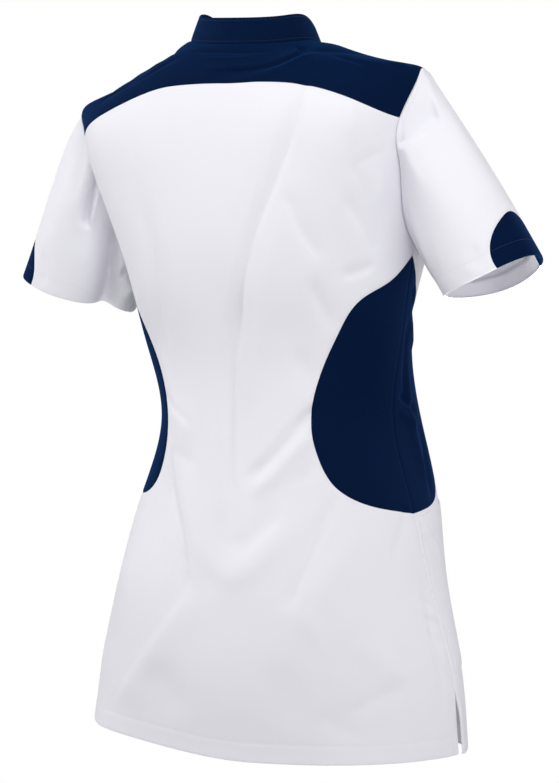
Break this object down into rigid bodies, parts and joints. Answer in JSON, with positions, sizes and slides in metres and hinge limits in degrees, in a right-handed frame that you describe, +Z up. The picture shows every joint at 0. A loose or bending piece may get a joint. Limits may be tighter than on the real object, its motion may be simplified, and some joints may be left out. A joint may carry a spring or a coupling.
{
  "type": "medical jacket",
  "caption": "Short-sleeved medical jacket as worn: fitted waist with contrast half-moon sides, shoulder yoke, stand collar, lapped front and patch pockets.",
  "frame": {"origin": "midway between the wearer's shoulders, where the body carries the jacket", "axes": "+Z up along the wearer, -Y to the front, +X to the wearer's left"},
  "size_m": [0.6168, 0.2864, 0.7472],
  "materials": {
    "white_cloth": "matt, fine plain-looking twill, white with a faint lavender cast",
    "navy_cloth": "matt, fine plain-looking twill, dark navy",
    "stud_cap": "satin white press-stud cap"
  },
  "bodies": {
    "root": {"back": "white_cloth", "yoke": "navy_cloth", "front_left": "white_cloth", "front_right": "white_cloth", "side_back_left": "navy_cloth", "side_back_right": "navy_cloth", "side_front_left": "navy_cloth", "side_front_right": "navy_cloth", "collar": "navy_cloth", "sleeve_left": "white_cloth", "sleeve_right": "white_cloth", "sleeve_moon_left": "navy_cloth", "sleeve_moon_right": "navy_cloth", "pocket_left": "white_cloth", "pocket_right": "white_cloth", "stud_1": "stud_cap", "stud_2": "stud_cap", "stud_3": "stud_cap", "stud_4": "stud_cap", "stud_5": "stud_cap", "stud_6": "stud_cap", "stud_7": "stud_cap"}
  },
  "joints": []
}
